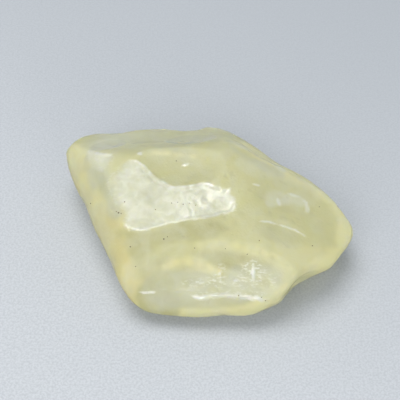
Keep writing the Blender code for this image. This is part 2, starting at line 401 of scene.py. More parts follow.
ZONES = (
    # The glow zones are painted light on the rims: the brighter yellow of thin glass lit through, laid on
    # shaded rims too.
    Zone("left_flank", Tone.GLOW, 0.85, 1.0, (
        (-14.7, 7.0), (-13.9, 4.4), (-12.9, 1.9), (-10.5, -3.0), (-9.0, -6.7), (-8.5, -9.0),
        (-7.6, -10.8), (-9.0, -14.0), (-13.0, -11.0), (-18.0, 0.0), (-21.0, 8.0), (-16.5, 8.5),
    )),
    Zone("low_left_flank", Tone.WARM, 0.9, 2.5, (
        (-10.5, -2.0), (-8.2, -6.7), (-7.6, -9.0), (-7.6, -11.5), (-9.0, -14.0), (-13.0, -11.0),
        (-15.0, -2.0),
    )),
    Zone("left_end", Tone.WARM, 0.5, 2.0, (
        (-15.3, 6.0), (-14.6, 3.0), (-13.5, 0.5), (-18.0, 0.0), (-21.0, 8.0),
    )),
    Zone("right_rim", Tone.GLOW, 0.85, 1.2, (
        (3.2, 6.9), (5.2, 5.0), (8.0, 3.4), (10.9, 2.2), (13.4, 0.6), (14.8, -1.8), (14.4, -4.1),
        (12.5, -6.6), (10.2, -8.8), (8.0, -10.5), (5.7, -11.7), (6.0, -16.0), (13.0, -15.0), (21.0, -6.0),
        (20.0, 2.0), (13.0, 8.0), (6.0, 10.0),
    )),
    Zone("front_rim", Tone.GLOW, 0.9, 0.35, (
        (6.5, -11.6), (3.8, -12.0), (0.2, -12.15), (-3.5, -12.0), (-6.1, -11.7), (-8.0, -10.9),
        (-9.0, -14.0), (0.0, -18.0), (7.0, -16.0),
    )),
    Zone("left_interior", Tone.DEEP, 1.0, 1.2, (
        (-10.0, -4.9), (-6.0, -5.0), (-3.0, -4.3), (0.5, -3.8), (1.5, -5.2), (-1.5, -6.4), (-6.0, -7.2),
        (-7.4, -9.4), (-8.3, -9.0), (-9.0, -6.8),
    )),
    Zone("front_corner", Tone.DEEP, 1.0, 0.9, (
        (-7.9, -10.3), (-5.5, -10.5), (-3.5, -11.4), (-4.0, -13.5), (-7.9, -13.5),
    )),
    Zone("right_shoulder", Tone.GLOW, 0.5, 2.0, (
        (7.0, -6.5), (10.0, -5.6), (12.5, -6.0), (10.2, -9.0), (8.0, -9.5),
    )),
    # Painted reflection: the grey sheen of the room on the far slope, seen at a grazing angle.
    Zone("far_slope", Tone.HAZE, 0.62, 3.0, (
        (-14.6, 7.4), (-12.0, 5.9), (-8.3, 5.0), (-4.6, 5.7), (-1.8, 5.4), (-0.4, 6.6), (1.2, 7.6),
        (2.5, 9.5), (2.0, 15.0), (-6.0, 16.0), (-15.0, 13.0),
    )),
    Zone("far_shoulder", Tone.HAZE, 0.6, 0.8, (
        (2.6, 6.2), (4.4, 5.0), (6.3, 4.4), (8.5, 3.6), (8.0, 2.6), (5.6, 3.4), (3.0, 4.9),
    )),
    # Painted reflection: the grey of the room in the front dish.
    Zone("front_dish_floor", Tone.HAZE, 0.70, 0.7, (
        (-6.5, -9.2), (-4.5, -8.9), (-2.4, -8.5), (0.8, -9.3), (3.0, -8.6), (6.0, -8.6), (8.0, -9.4),
        (7.3, -10.9), (5.0, -11.6), (0.0, -12.0), (-5.0, -11.8), (-7.3, -10.7),
    )),
    Zone("between_rims", Tone.DEEP, 0.8, 0.6, (
        (-0.8, -7.6), (2.0, -7.5), (4.8, -7.9), (7.0, -8.7), (5.5, -9.2), (2.0, -8.9), (0.2, -8.4),
    )),
    # Painted sheen on the front dish.
    Zone("front_sheen", Tone.MILK, 0.45, 1.2, (
        (-1.8, -9.6), (1.5, -9.3), (3.8, -8.9), (7.4, -9.7), (6.6, -11.2), (3.0, -11.1), (0.0, -11.0),
        (-2.4, -10.9),
    )),
    # Painted glints: fine bright flecks on the front dish and its lip.
    Zone("left_hackles", Tone.HACKLE, 0.8, 0.5, (
        (-3.0, -9.6), (-1.0, -9.5), (0.6, -9.5), (0.6, -10.1), (-1.0, -10.2), (-3.0, -10.1),
    )),
    Zone("middle_hackles", Tone.HACKLE, 0.7, 0.5, ((0.6, -8.7), (1.7, -8.7), (1.8, -10.4), (0.6, -10.4))),
    Zone("right_hackles", Tone.HACKLE, 0.9, 0.9, (
        (3.6, -8.6), (5.4, -8.2), (6.2, -9.2), (6.0, -10.3), (4.0, -10.4), (2.4, -10.2), (3.0, -9.6),
    )),
    Zone("far_hackles", Tone.HACKLE, 0.4, 0.6, ((6.4, -9.3), (8.0, -9.7), (7.6, -10.6), (6.4, -10.4))),
    Zone("lip_hackles", Tone.HACKLE, 0.6, 0.4, (
        (-2.6, -10.7), (0.2, -10.8), (3.0, -10.8), (6.0, -11.2), (6.2, -11.8), (2.0, -11.3),
        (-1.2, -11.4),
    )),
    Zone("corner_cloud", Tone.MILK, 0.8, 0.4, (
        (-14.3, 6.3), (-13.4, 5.4), (-12.4, 4.9), (-11.2, 4.8), (-11.6, 3.8), (-12.4, 2.6), (-13.6, 3.6),
    )),
    Zone("left_haze", Tone.HAZE, 0.85, 1.2, (
        (-14.6, 5.4), (-12.2, 3.6), (-11.4, 1.8), (-10.4, -1.5), (-9.8, -3.4), (-10.9, -3.2),
        (-12.2, -0.5), (-13.7, 2.2),
    )),
    Zone("nail_cloud", Tone.MILK, 0.65, 0.8, (
        (6.4, 0.35), (8.5, 0.75), (10.4, 0.5), (11.1, -0.4), (8.4, -1.0), (6.6, -1.4),
    )),
    # Painted light: pale patches on the far-right rim, which faces away from the main light.
    Zone("rim_cloud", Tone.MILK, 0.7, 0.5, ((7.0, 5.7), (8.1, 5.3), (9.0, 4.3), (8.6, 3.7), (7.4, 4.6))),
    Zone("far_rim_cloud", Tone.MILK, 0.5, 0.6, (
        (2.6, 7.9), (3.9, 7.8), (4.9, 6.7), (4.2, 6.2), (3.0, 6.9),
    )),
    Zone("tip_cloud", Tone.MILK, 0.35, 0.6, (
        (10.4, 3.9), (13.0, 2.9), (15.0, 1.2), (14.4, 0.6), (12.6, 2.0), (10.6, 2.9),
    )),
    Zone("far_cloud", Tone.MILK, 0.35, 0.8, (
        (3.6, 4.4), (5.4, 3.6), (7.6, 3.0), (6.6, 1.9), (4.2, 2.2), (3.0, 3.4),
    )),
    Zone("far_left_cloud", Tone.MILK, 0.4, 1.2, (
        (-13.4, 9.0), (-10.0, 8.6), (-8.0, 7.4), (-9.5, 6.4), (-12.6, 6.8),
    )),
)

RIBS = (
    Ribs("front_dish", (1.2, -15.5, 2.5), 1.25, 0.012),
    Ribs("small_front_dish", (-2.4, -14.0, 3.0), 0.9, 0.006),
)

FLAKES = (
    Flake("far_side", (1.4, 0.2), (2.6, 1.8), 15, 0.30, Skin.GLOSSY),
    Flake("far_side", (9.8, 0.4), (2.8, 2.0), -14, 0.28, Skin.SATIN),
    Flake("far_slope", (1.6, -5.6), (3.2, 1.7), 8, 0.16, Skin.GLOSSY),
    Flake("far_slope", (7.4, -6.4), (3.2, 1.6), -10, 0.14, Skin.SATIN),
    Flake("far_slope", (11.6, -5.0), (2.4, 1.5), 20, 0.12, Skin.GLOSSY),
    Flake("far_right_side", (-3.6, 0.3), (2.6, 1.8), 20, 0.24, Skin.SATIN),
    Flake("far_right_side", (2.4, -0.6), (2.8, 1.7), -15, 0.30, Skin.GLOSSY),
    Flake("tip_far_side", (-0.6, 0.3), (1.8, 1.4), 30, 0.12, Skin.SATIN),
    Flake("tip_near_side", (-1.0, 0.2), (2.2, 1.3), 10, 0.07, Skin.SATIN),
    Flake("near_right_side", (-5.6, 0.6), (2.4, 1.4), -8, 0.06, Skin.SATIN),
    Flake("front_side", (2.0, 0.4), (3.2, 0.9), 4, 0.05, Skin.GLOSSY),
    Flake("left_side", (2.6, -0.2), (3.0, 1.6), 12, 0.07, Skin.SATIN),
    Flake("left_side", (-4.2, 0.4), (2.4, 1.4), -18, 0.07, Skin.GLOSSY),
    Flake("left_slope", (3.4, 1.0), (2.8, 1.4), 6, 0.04),
    Flake("left_tip", (0.4, 0.6), (2.2, 1.5), 12, 0.14, Skin.SATIN),
    Flake("under_left", (1.5, 0.0), (2.6, 1.5), 25, 0.22, Skin.SATIN),
    Flake("under_far", (-1.0, 0.4), (2.8, 1.4), -14, 0.24, Skin.GLOSSY),
    Flake("under_right", (0.6, 0.2), (2.6, 1.3), 10, 0.20, Skin.SATIN),
    Flake("under_far_left", (1.8, 0.2), (2.4, 1.2), 0, 0.18, Skin.SATIN),
)

PITS = (
    Pits(320, (0.15, 0.40), 0.05, 11),
    Pits(110, (0.5, 1.1), 0.06, 12),
    Pits(34, (1.2, 2.1), 0.12, 13, far=True),
)

# Where the mineral grains sit on the top, and the radius of each.
GRAINS = (
    (-10.25, -2.9, 0.13), (-10.5, -2.7, 0.09), (-9.95, -3.05, 0.09), (-9.6, -1.65, 0.10), (-13.8, 0.35, 0.10),
    (-5.1, -6.3, 0.12), (-4.7, -6.05, 0.09), (-8.8, -6.85, 0.12), (-8.2, -8.7, 0.09), (-1.7, -7.15, 0.08),
    (1.7, -7.2, 0.09), (4.1, -7.7, 0.08), (5.45, -6.35, 0.10), (11.5, -5.8, 0.10), (5.65, -11.5, 0.12),
    (6.1, -11.75, 0.10), (3.15, -11.25, 0.10), (-3.85, 4.2, 0.09), (-6.1, -2.65, 0.09), (-4.3, -1.85, 0.07),
    (-3.6, -1.75, 0.07), (-3.0, -2.0, 0.08), (-2.3, -1.85, 0.07), (-1.6, -2.1, 0.07), (12.7, -0.3, 0.07),
)

# The noises of each kind of form, so that no two of them share a pattern.
LUMPS = (Noise(2.3, 0.030, 21), Noise(1.1, 0.016, 22), Noise(0.6, 0.004, 23))
FAR_LUMPS = Noise(2.0, 1.0, 24)
BROAD_HAMMER = Noise(1.5, 1.0, 31)
CLOSE_HAMMER = Noise(0.75, 1.0, 32)
POLISH_PATCHES = Noise(2.2, 1.0, 33)
RAGGED_EDGE = Noise(0.9, 0.2, 34)
RIB_WANDER = Noise(3.0, 0.4, 41)
RING_WANDER = Noise(2.4, 0.6, 42)
RILLS = Noise(1.6, 1.0, 43, (0.45, 0.45, 1.3))
CREST_WANDER = Noise(0.8, 0.08, 51)
CREST_BREAKS = Noise(0.9, 0.7, 52)
ZONE_WANDER = (Noise(2.6, 0.5, 61), Noise(1.1, 0.25, 62))
ZONE_BLOTCHES = (Noise(3.4, 0.45, 63), Noise(1.6, 0.25, 64))
VEIL_WARP = Noise(3.5, 1.2, 71)
VEIL_BANDS = Noise(2.6, 1.0, 72, (0.5, 0.7, 1.5))
VEIL_WISPS = Noise(2.0, 1.0, 73, (0.6, 0.8, 1.4))


def unit(bearing: float, tilt: float) -> Array:
    """Points a unit vector.

    Args:
        bearing: Plan bearing from +X, in degrees.
        tilt: Tilt above the horizon, in degrees.

    Returns:
        The unit vector.
    """
    turn, rise = math.radians(bearing), math.radians(tilt)
    return np.array((math.cos(turn) * math.cos(rise), math.sin(turn) * math.cos(rise), math.sin(rise)))


def in_plane(way: Array, out: Array) -> Array:
    """Lays a vector into the plane that a unit vector looks out of.

    Args:
        way: The vector.
        out: The unit vector.

    Returns:
        The laid vector, of length 1.
    """
    laid = way - out * way.dot(out)
    return laid / np.linalg.norm(laid)


def soft_max(first: Array, second: Array, wear: float) -> Array:
    """Takes the larger of two distances, with the edge between them rounded.

    Args:
        first: Distances to one shape.
        second: Distances to the other.
        wear: The width of the rounding.

    Returns:
        The blended distances.
    """
    share = np.clip(0.5 + 0.5 * (first - second) / wear, 0.0, 1.0)
    return first * share + second * (1.0 - share) + wear * share * (1.0 - share)


def smooth_step(value: Array, low: float, high: float) -> Array:
    """Rises smoothly from 0 to 1.

    Args:
        value: What is measured.
        low: Where the rise starts.
        high: Where it ends.

    Returns:
        The share at each value.
    """
    share = np.clip((value - low) / (high - low), 0.0, 1.0)
    return share * share * (3.0 - 2.0 * share)


def swirl(points: Array, cell: float, seed: int) -> Array:
    """Smooth noise whose swells are about one cell wide.

    Args:
        points: Where it is read, one row each.
        cell: The width of its swells.
        seed: Which noise it is.

    Returns:
        A value from about -1 to 1 for each point.
    """
    table_size = 256
    chance = np.random.RandomState(seed)
    order = chance.permutation(table_size)
    slopes = chance.normal(size=(table_size, 3))
    slopes /= np.linalg.norm(slopes, axis=1)[:, None]
    place = points / cell
    corner = np.floor(place).astype(int)
    within = place - corner
    fade = within**3 * (within * (within * 6.0 - 15.0) + 10.0)
    total = np.zeros(len(points))
    for step in itertools.product((0, 1), repeat=3):
        lattice = corner + np.array(step)
        index = order[lattice[:, 0] % table_size]
        index = order[(index + lattice[:, 1]) % table_size]
        index = order[(index + lattice[:, 2]) % table_size]
        weight = np.where(np.array(step) == 1, fade, 1.0 - fade).prod(axis=1)
        total += weight * (slopes[index] * (within - np.array(step))).sum(axis=1)
    return total * 1.6


def smooth_outline(corners: Outline) -> Array:
    """A closed smooth curve through given corners.

    Args:
        corners: Its points, in order.

    Returns:
        Many points along the curve, one row each.
    """
    given = np.array(corners)
    before, after, beyond = (np.roll(given, shift, axis=0) for shift in (1, -1, -2))
    runs = []
    for step in range(OUTLINE_STEPS):
        t = step / OUTLINE_STEPS
        linear = 2.0 * given + (after - before) * t
        square = (2.0 * before - 5.0 * given + 4.0 * after - beyond) * t**2
        cube = (3.0 * given - before - 3.0 * after + beyond) * t**3
        runs.append(0.5 * (linear + square + cube))
    return np.stack(runs, axis=1).reshape(-1, 2)


def gap_to_runs(plan: Array, start: Array, run: Array) -> Array:
    """How far plan points are from the nearest of some straight runs.

    Args:
        plan: The points, one row each.
        start: Where each run starts.
        run: From each run's start to its end.

    Returns:
        One distance for each point.
    """
    offset = plan[:, None, :] - start[None, :, :]
    share = np.clip((offset * run).sum(axis=2) / (run * run).sum(axis=1), 0.0, 1.0)
    return np.linalg.norm(offset - share[:, :, None] * run, axis=2).min(axis=1)


def depth_inside(plan: Array, outline: Outline) -> Array:
    """How far plan points are inside a closed outline.

    Args:
        plan: The points, one row each.
        outline: The outline's corners.

    Returns:
        Distances to the outline, negative outside it.
    """
    start = smooth_outline(outline)
    run = np.roll(start, -1, axis=0) - start
    nearest = gap_to_runs(plan, start, run)
    offset = plan[:, None, :] - start[None, :, :]
    end_y = start[:, 1] + run[:, 1]
    rising = (start[:, 1] <= plan[:, 1:2]) & (end_y > plan[:, 1:2])
    falling = (start[:, 1] > plan[:, 1:2]) & (end_y <= plan[:, 1:2])
    side = run[:, 0] * offset[:, :, 1] - run[:, 1] * offset[:, :, 0]
    turns = (rising & (side > 0)).sum(axis=1) - (falling & (side < 0)).sum(axis=1)
    return np.where(turns != 0, nearest, -nearest)


def bisect(near: Array, far: Array, halvings: int, is_outside: Callable[[Array], Array]) -> Array:
    """Closes in on where the skin lies between an inner and an outer place on each line.

    Args:
        near: A place inside the glass on each line.
        far: A place outside it.
        halvings: How often the span between them is halved.
        is_outside: Tells for a place on each line whether it is outside the glass.

    Returns:
        The place of the skin on each line.
    """
    for _ in range(halvings):
        middle = (near + far) / 2.0
        outside = is_outside(middle)
        far = np.where(outside, middle, far)
        near = np.where(outside, near, middle)
    return (near + far) / 2.0


class Shape:
    """The nugget's form as a distance: negative inside the glass, positive outside."""

    def block(self, points: Array) -> Array:
        """The distance to the block of worn faces, with all its edges rounded.

        Args:
            points: Where it is measured, one row each.

        Returns:
            One distance for each point.
        """
        looks = np.array([unit(face.bearing, face.tilt) for face in FACES])
        reaches = np.array([face.reach for face in FACES])
        beyond = (points - np.array(HEART)) @ looks.T - reaches
        furthest = beyond.max(axis=1)
        return furthest + EDGE_WEAR * np.log(np.exp((beyond - furthest[:, None]) / EDGE_WEAR).sum(axis=1))

    def scoop(self, points: Array, dish: Dish) -> Array:
        """The distance to the egg-shaped body that scoops a dish.

        Args:
            points: Where it is measured, one row each.
            dish: The dish.

        Returns:
            One distance for each point, negative inside the egg.
        """
        out = unit(dish.bearing, dish.tilt)
        along = in_plane(unit(dish.heading, 0.0), out)
        widening = 1.0 / math.sqrt(1.0 - SCOOP_SHARE**2)
        half_depth = dish.depth / (1.0 - SCOOP_SHARE)
        middle = np.array(dish.mouth) + out * half_depth * SCOOP_SHARE
        halves = np.array((dish.half[0] * widening, dish.half[1] * widening, half_depth))
        local = (points - middle) @ np.stack((along, np.cross(out, along), out), axis=1)
        scaled = np.linalg.norm(local / halves, axis=1)
        gradient = np.linalg.norm(local / halves**2, axis=1)
        return scaled * (scaled - 1.0) / np.maximum(gradient, 1e-9)

    def scar_depth(self, points: Array) -> Array:
        """How deep the flake scars are.

        Args:
            points: Where it is measured, one row each.

        Returns:
            One depth for each point.
        """
        depth = np.zeros(len(points))
        on_top = points[:, 2] > SCAR_FLOOR
        plan = points[on_top, :2]
        for scar in SCARS:
            inside = depth_inside(plan, scar.outline)
            depth[on_top] += scar.depth * smooth_step(inside, 0.0, scar.step) * scar.strength(plan)
        return depth

    def distance(self, points: Array) -> Array:
        """The distance to the nugget's skin.

        Args:
            points: Where it is measured, one row each.

        Returns:
            One distance for each point.
        """
        distance = self.block(points) + sum(wave.at(points) for wave in WAVES)
        for dish in DISHES:
            distance = soft_max(distance, -self.scoop(points, dish), dish.rim_wear)
        distance += self.scar_depth(points)
        distance = soft_max(distance, -points[:, 2], BASE_WEAR)
        return soft_max(distance, -self.scoop(points, BASE_DISH), BASE_DISH.rim_wear)

    def outward(self, points: Array, step: float = 0.08) -> Array:
        """Which way the skin looks.

        Args:
            points: Points on the skin, one row each.
            step: How far apart the distance is read to find its slope.

        Returns:
            A unit vector for each point.
        """
        steps = np.eye(3) * step
        slope = np.stack([self.distance(points + way) - self.distance(points - way) for way in steps], axis=1)
        return slope / np.linalg.norm(slope, axis=1)[:, None]

    def settle(self, plan: Array) -> Array:
        """Drops plan points onto the top of the nugget.

        Args:
            plan: Plan points, one row each.

        Returns:
            The points on the skin above them.
        """
        low = np.full(len(plan), HEART[2] - DROP_SPAN[0])
        high = np.full(len(plan), HEART[2] + DROP_SPAN[1])
        height = bisect(
            low, high, DROP_HALVINGS, lambda height: self.distance(np.column_stack((plan, height))) > 0.0
        )
        return np.column_stack((plan, height))


@dataclass
class Coat:
    """What the skin is like at each vertex, as shares from 0 to 1."""

    polish: Array
    # The white of fresh struck glass, partly painted highlight.
    frost: Array
    # The glow is painted light on the rims.
    glow: Array
    warm: Array
    deep: Array
    # The haze is partly cloudy glass, partly painted sheen of the grey room.
    haze: Array
    # The milk is partly milky clouds, partly painted sheen.
    milk: Array
    # Painted glints: where fine bright flecks are painted.
    hackle: Array
    hollow: Array

    def raise_to(self, **least: Array) -> None:
        """Makes some of the shares at least this large.

        Args:
            least: The least value at each vertex, by the name of its share.
        """
        for name, share in least.items():
            setattr(self, name, np.maximum(getattr(self, name), share))

    def finish(self, skin: Skin, share: Array) -> None:
        """Gives a skin to part of the surface, where a fresh one is white, partly as painted highlight, as
        well as polished.

        Args:
            skin: The skin.
            share: How much of it each vertex has.
        """
        self.raise_to(polish=skin.value * share)
        if skin is Skin.FRESH:
            self.raise_to(frost=share)


@dataclass
class Relief:
    """The small forms on the skin: how they raise it, and how they change its finish."""

    shape: Shape
    points: Array
    outward: Array

    # Where a point starts to count as on the upper side, and where it does so in full.
    upper: Span = (0.05, 0.3)
    # The same for the steep far sides and the underside, and for those that look away from the front.
    far_fall: Span = (-0.25, 0.35)
    far_turn: Span = (-0.6, 0.1)
    # The heights of the blobs on the far side and of the broad and close lumps in the scars.
    blob_height: float = 0.04
    broad_height: float = 0.085
    close_height: float = 0.045
    scar_sink: float = 0.03
    # Where, going left, the edge of a scar gets softer and its polish fades, and where, going right
    #     and to the front, its floor gets white and full of flecks, partly painted highlight and painted
    #     glints.
    scar_softens: Span = (7.5, 10.5)
    scar_dulls: Span = (1.0, 7.0)
    scar_whitens: Span = (-1.0, 4.0)
    # How strong the haze and the milk of the scars are, partly painted sheen, and how broad the painted
    #     glints along their rims.
    scar_haze: float = 0.55
    scar_milk: float = 0.4
    scar_rim: float = 0.3
    # How round the rim of a flake is, the height of its rings as a share of its depth, how far apart
    # they are, and how far from its middle the blow fell, in half lengths.
    flake_wear: float = 0.15
    ring_share: float = 0.045
    ring_pitch: float = 0.9
    blow_reach: float = 1.4
    # How deep the rills are, how broad their crests, and how round their beds.
    rill_height: float = 0.05
    rill_crest: float = 0.28
    rill_round: float = 0.02
    # How far a crest takes to rise at its ends.
    crest_rise: float = 0.9
    # How strong the haze, the deep glass and the milk of the veils are.
    veil_haze: float = 0.8
    veil_deep: float = 0.7
    veil_milk: float = 0.55

    def __post_init__(self) -> None:
        """Starts from a bare skin."""
        count = len(self.points)
        self.height = np.zeros(count)
        self.coat = Coat(*np.zeros((len(fields(Coat)), count)))

    def on_top(self) -> Array:
        """The share by which each point belongs to the upper side."""
        return smooth_step(self.outward[:, 2], *self.upper)

    def far_share(self) -> Array:
        """The share by which each point belongs to the steep far sides or the underside."""
        fall = smooth_step(self.outward[:, 1] - self.outward[:, 2], *self.far_fall)
        return fall * smooth_step(self.outward[:, 1], *self.far_turn)

    def add_lumps(self) -> None:
        """Adds the small uneven lumps the wind leaves everywhere, and larger ones on the far side."""
        for lumps in LUMPS:
            self.height += lumps.at(self.points)
        blobs = smooth_step(FAR_LUMPS.at(self.points), 0.0, 0.8)
        self.height += self.blob_height * blobs * smooth_step(self.outward[:, 1], 0.2, 0.5)

    def add_scars(self) -> None:
        """Adds the hammered, glossy floors of the flake scars."""
        x, y, z = self.points.T
        upper = z > SCAR_FLOOR
        soft = 0.2 + 0.9 * smooth_step(-x, *self.scar_softens)
        left = smooth_step(-x, *self.scar_dulls)
        end = smooth_step(x - y, *self.scar_whitens)
        broad, close = np.abs(BROAD_HAMMER.at(self.points)), np.abs(CLOSE_HAMMER.at(self.points))
        ridges = 0.6 * smooth_step(0.45 - broad, 0.0, 0.4) + 0.4 * smooth_step(0.4 - close, 0.0, 0.35)
        patches = smooth_step(POLISH_PATCHES.at(self.points), -0.5, 0.3)
        for scar in SCARS:
            inside = np.full(len(self.points), -9.0)
            inside[upper] = depth_inside(self.points[upper, :2], scar.outline)
            ragged = inside + RAGGED_EDGE.at(self.points)
            floor = scar.share * smooth_step(ragged, -0.25, soft)
            self.height += floor * (self.broad_height * broad + self.close_height * close - self.scar_sink)
            rim = np.exp(-(((ragged - 0.1) / self.scar_rim) ** 2)) * (0.4 + 0.6 * end)
            # The haze, milk and white here are partly painted sheen and highlight; the flecks along the rim
            # are painted glints.
            self.coat.raise_to(
                haze=self.scar_haze * floor,
                milk=self.scar_milk * floor,
                frost=floor * np.minimum(0.22 + 0.6 * ridges + 0.25 * end, 1.0),
                polish=floor * (0.34 + 0.40 * patches) * (1.0 - 0.75 * left),
                hackle=np.maximum(0.8 * floor * end, 0.75 * scar.share * rim),
            )

    def add_dish_skins(self) -> None:
        """Gives each dish its finish."""
        for dish in DISHES:
            self.coat.finish(dish.skin, smooth_step(-self.shape.scoop(self.points, dish), -0.25, 0.05))

    def add_ribs(self) -> None:
        """Adds the low rings a breaking flake leaves inside a dish."""
        dishes = {dish.name: dish for dish in DISHES}
        for ribs in RIBS:
            inside = smooth_step(-self.shape.scoop(self.points, dishes[ribs.dish]), -0.2, 0.0)
            reach = np.linalg.norm(self.points - np.array(ribs.centre), axis=1)
            reach += RIB_WANDER.at(self.points)
            self.height += ribs.height * inside * np.cos(2.0 * math.pi * reach / ribs.pitch)

    def add_flakes(self) -> None:
        """Breaks the thin flakes off the sides, each with low rings from the point it was struck at.

        A flake's middle is the point of the skin nearest to its place on the flat face.
        """
        faces = {face.name: face for face in FACES}
        for flake in FLAKES:
            face = faces[flake.face]
            out = unit(face.bearing, face.tilt)
            along = unit(face.bearing + 90.0, 0.0)
            sought = np.array(HEART) + out * face.reach
            sought += along * flake.middle[0] + np.cross(out, along) * flake.middle[1]
            nearest = ((self.points - sought) ** 2).sum(axis=1).argmin()
            middle, out = self.points[nearest], self.outward[nearest]
            along = in_plane(along, out)
            turn = math.radians(flake.turn)
            length = along * math.cos(turn) + np.cross(out, along) * math.sin(turn)
            local = (self.points - middle) @ np.stack((length, np.cross(out, length), out), axis=1)
            dip = 1.0 - (local[:, 0] / flake.half[0]) ** 2 - (local[:, 1] / flake.half[1]) ** 2
            facing = smooth_step(self.outward @ out, 0.6, 0.85)
            inside = smooth_step(dip, -0.05, 0.15) * facing
            self.height -= flake.depth * soft_max(dip, np.zeros(len(dip)), self.flake_wear) * facing
            blow = middle + length * flake.half[0] * self.blow_reach
            reach = np.linalg.norm(self.points - blow, axis=1) + RING_WANDER.at(self.points)
            rings = np.cos(2.0 * math.pi * reach / self.ring_pitch)
            self.height += self.ring_share * flake.depth * inside * rings
            self.coat.finish(flake.skin, inside)

    def add_rills(self) -> None:
        """Adds the shallow rills that the wind cuts along the sides."""
        sides = smooth_step(np.linalg.norm(self.outward[:, :2], axis=1), 0.5, 0.9)
        beds = np.sqrt(RILLS.at(self.points) ** 2 + self.rill_round)
        self.height += self.rill_height * sides * (self.rill_crest - beds)

    def add_marks(self) -> None:
        """Adds the swells, hollows, blisters, flecks and streaks."""
        for mark in MARKS:
            turn = math.radians(mark.heading)
            offset = self.points[:, :2] - np.array(mark.place)
            along = (offset[:, 0] * math.cos(turn) + offset[:, 1] * math.sin(turn)) / mark.half[0]
            across = (offset[:, 1] * math.cos(turn) - offset[:, 0] * math.sin(turn)) / mark.half[1]
            share = np.exp(-(along**2) - across**2) * self.on_top()
            self.height += mark.height * share
            # A fresh mark is painted white, partly as a painted highlight on glints and blisters.
            self.coat.finish(mark.skin, smooth_step(share, 0.15, 0.6))

    def add_crests(self) -> None:
        """Adds the thin raised lines and grooves."""
        for crest in CRESTS:
            line = np.array(crest.line)
            gap = gap_to_runs(self.points[:, :2], line[:-1], line[1:] - line[:-1])
            gap += CREST_WANDER.at(self.points)
            ends = np.linalg.norm(self.points[:, None, :2] - line[[0, -1]], axis=2).min(axis=1)
            fade = smooth_step(ends, 0.0, self.crest_rise) * (0.85 + CREST_BREAKS.at(self.points))
            share = np.exp(-((gap / crest.width) ** 2)) * fade * self.on_top()
            self.height += crest.height * share
            # A fresh crest is painted white, partly as a painted highlight along the line.
            self.coat.finish(crest.skin, smooth_step(share, 0.1, 0.6))
            # Painted light: the glow lays a brighter yellow along the dish rims and the far-right rim.
            self.coat.raise_to(glow=crest.glow * share)

    def add_pits(self) -> None:
        """Adds the round pits: dusty ones on all sides, and wide satin ones on the far sides."""
        for pits in PITS:
            chance = np.random.RandomState(pits.seed)
            allowed = np.flatnonzero(self.far_share() > 0.6) if pits.far else np.arange(len(self.points))
            for index in chance.choice(allowed, pits.count, replace=False):
                radius = chance.uniform(*pits.radii)
                share = np.exp(-(((self.points - self.points[index]) ** 2).sum(axis=1) / radius**2))
                self.height -= pits.depth * share
                if pits.far:
                    self.coat.finish(Skin.SATIN, share)
                else:
                    self.coat.hollow += 0.6 * share

    def add_tones(self) -> None:
        """Gives each zone its tone, with a wandering edge, and blotches in the haze and milk, which in some
        zones are painted sheen.
        """
        wander = sum(noise.at(self.points) for noise in ZONE_WANDER)
        blotches = sum((noise.at(self.points) for noise in ZONE_BLOTCHES), 0.85)
        upper = 1.0 - self.far_share()
        for zone in ZONES:
            inside = depth_inside(self.points[:, :2], zone.outline) + zone.soft * wander
            share = zone.share * upper * smooth_step(inside, -0.5 * zone.soft, 0.5 * zone.soft)
            if zone.tone in (Tone.HAZE, Tone.MILK):
                share *= blotches
            self.coat.raise_to(**{zone.tone.value: share})

    def add_veils(self) -> None:
        """Adds the cloudy bands and milky wisps in the glass, as they show on the far sides."""
        warped = self.points + VEIL_WARP.at(self.points)[:, None]
        band = VEIL_BANDS.at(warped)
        wisp = np.abs(VEIL_WISPS.at(warped))
        far = self.far_share()
        self.coat.raise_to(
            haze=far * smooth_step(band, -0.1, 0.5) * self.veil_haze,
            deep=far * smooth_step(-band, 0.1, 0.6) * self.veil_deep,
            milk=far * smooth_step(0.14 - wisp, 0.0, 0.14) * self.veil_milk,
        )

    def build(self) -> None:
        """Adds every kind of form in turn, and reports the named ones."""
        for kind, forms in (("scars", SCARS), ("marks", MARKS), ("crests", CRESTS), ("zones", ZONES)):
            LOG.info("%s: %s", kind, ", ".join(form.name for form in forms))
        self.add_lumps()
        self.add_tones()
        self.add_veils()
        self.add_dish_skins()
        self.add_scars()
        self.add_ribs()
        self.add_flakes()
        self.add_rills()
        self.add_marks()
        self.add_crests()
        self.add_pits()

    def laid(self) -> Array:
        """The skin's points with the forms on them.

        Returns:
            One point a row, raised less the nearer it is to the flat base.
        """
        free = smooth_step(self.points[:, 2], 0.05, 0.8)
        height = np.where(self.height > 0.0, self.height * free, self.height)
        return self.points + self.outward * height[:, None]


